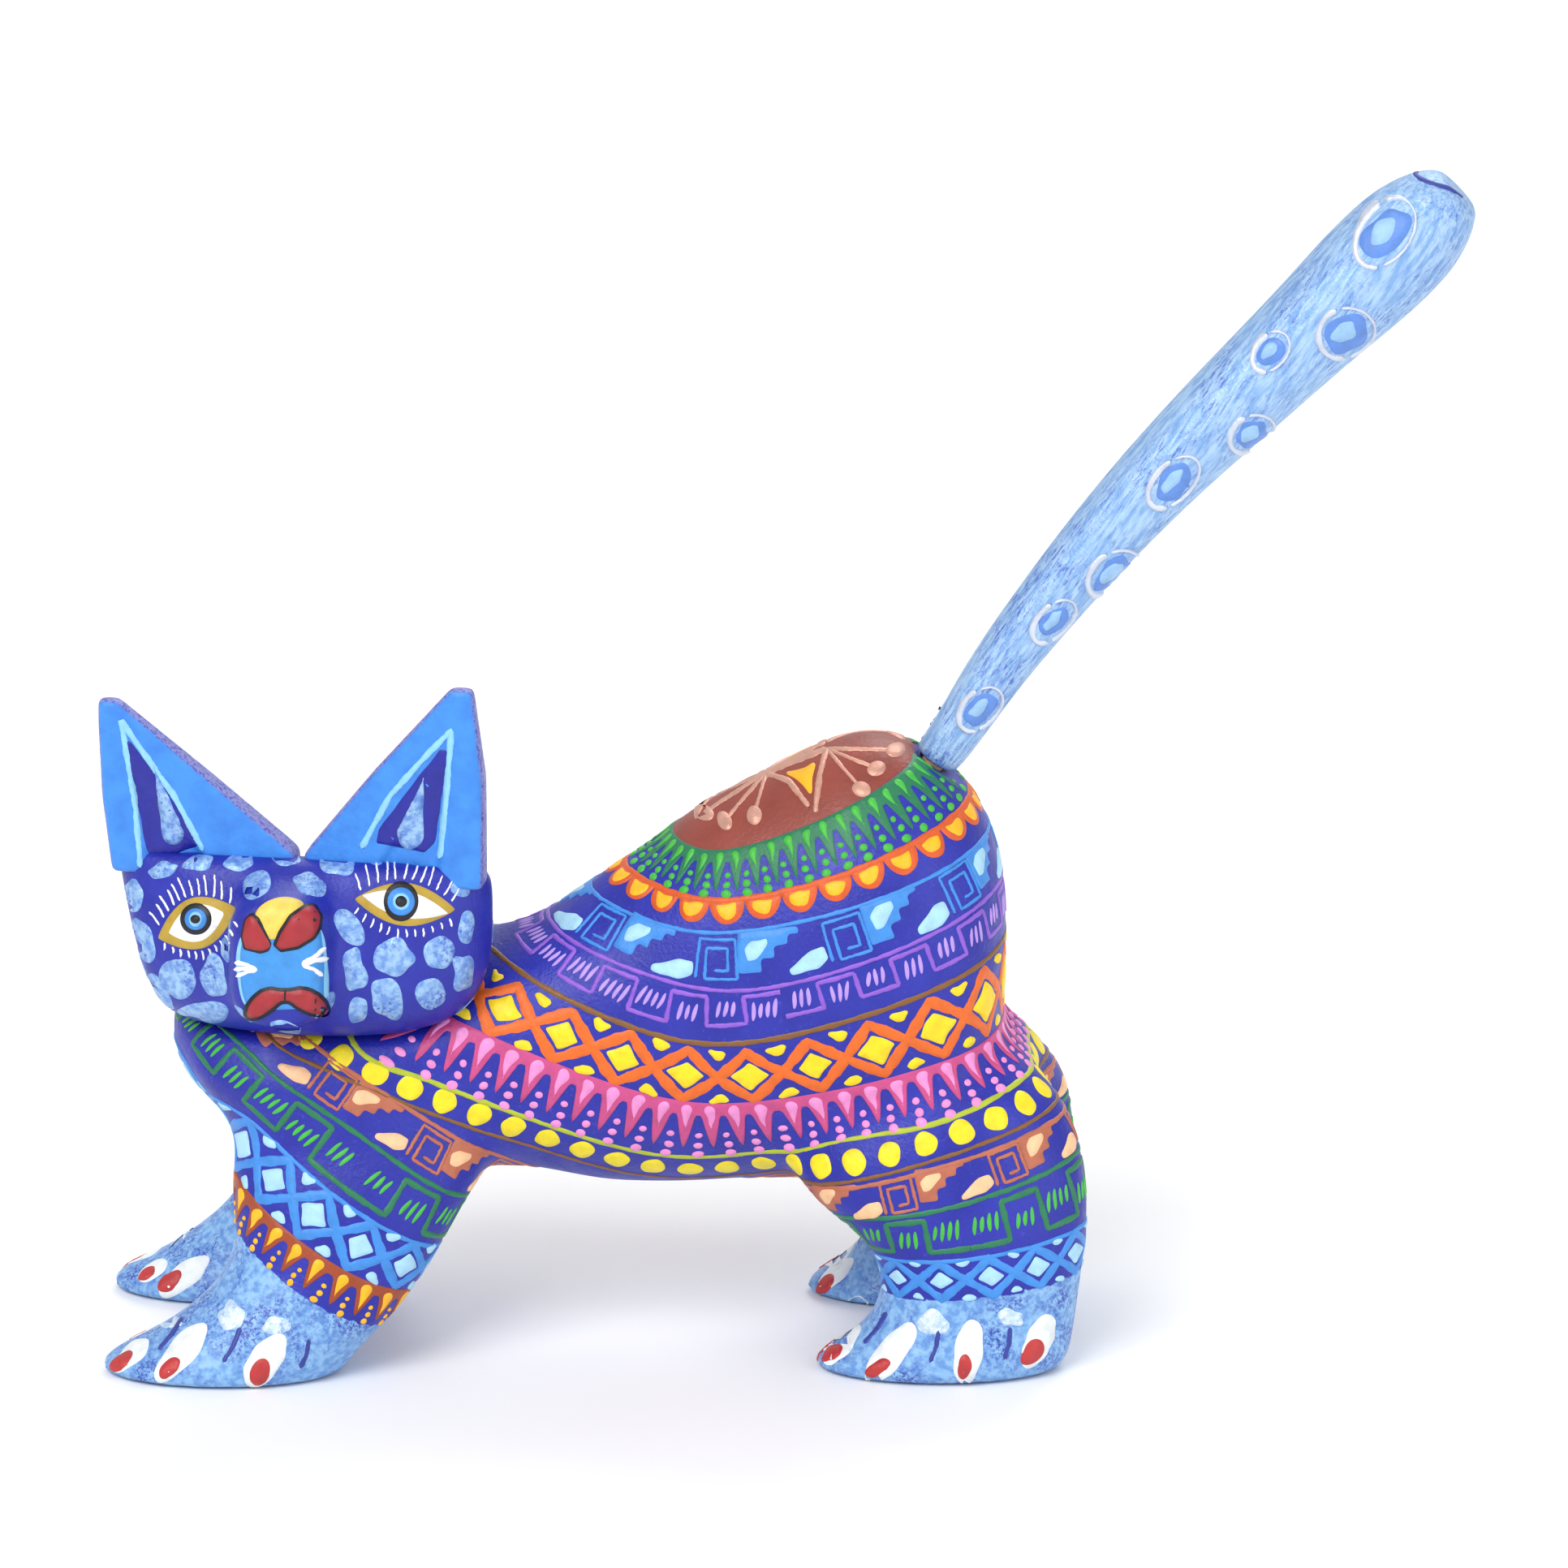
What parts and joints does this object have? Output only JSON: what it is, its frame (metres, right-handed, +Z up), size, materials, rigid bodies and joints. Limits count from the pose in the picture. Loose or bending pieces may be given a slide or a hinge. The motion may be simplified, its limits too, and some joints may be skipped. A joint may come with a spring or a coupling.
{
  "type": "carved wooden cat figure",
  "caption": "Hand-carved, painted wooden cat stretching with rump and pegged tail raised, head turned to the side.",
  "frame": {"origin": "on the ground, under the middle of the box around the whole figure", "axes": "+Z up, +X from the chest towards the tail, -Y the side the face looks towards"},
  "size_m": [0.2394, 0.0696, 0.2108],
  "materials": {
    "body_paint": "satin painted",
    "head_paint": "satin painted",
    "ear_paint": "satin painted",
    "tail_paint": "satin painted",
    "bare_wood": "bare"
  },
  "bodies": {
    "figure": {"body": "body_paint", "head": "head_paint", "left_ear": "ear_paint", "right_ear": "ear_paint", "neck_dowel": "bare_wood", "ear_dowels": "bare_wood"},
    "dowel": {"tail_dowel": "bare_wood"},
    "tail": {"tail": "tail_paint"}
  },
  "joints": [
    {"name": "tail_pull", "type": "slide", "parent": "figure", "child": "dowel", "axis": [0.5493, 0, 0.8356], "range_m": [0, 0.02]},
    {"name": "tail_turn", "type": "hinge", "parent": "dowel", "child": "tail", "pos_m": [0.0262, 0, 0.1044], "axis": [0.5493, 0, 0.8356], "continuous": true}
  ]
}
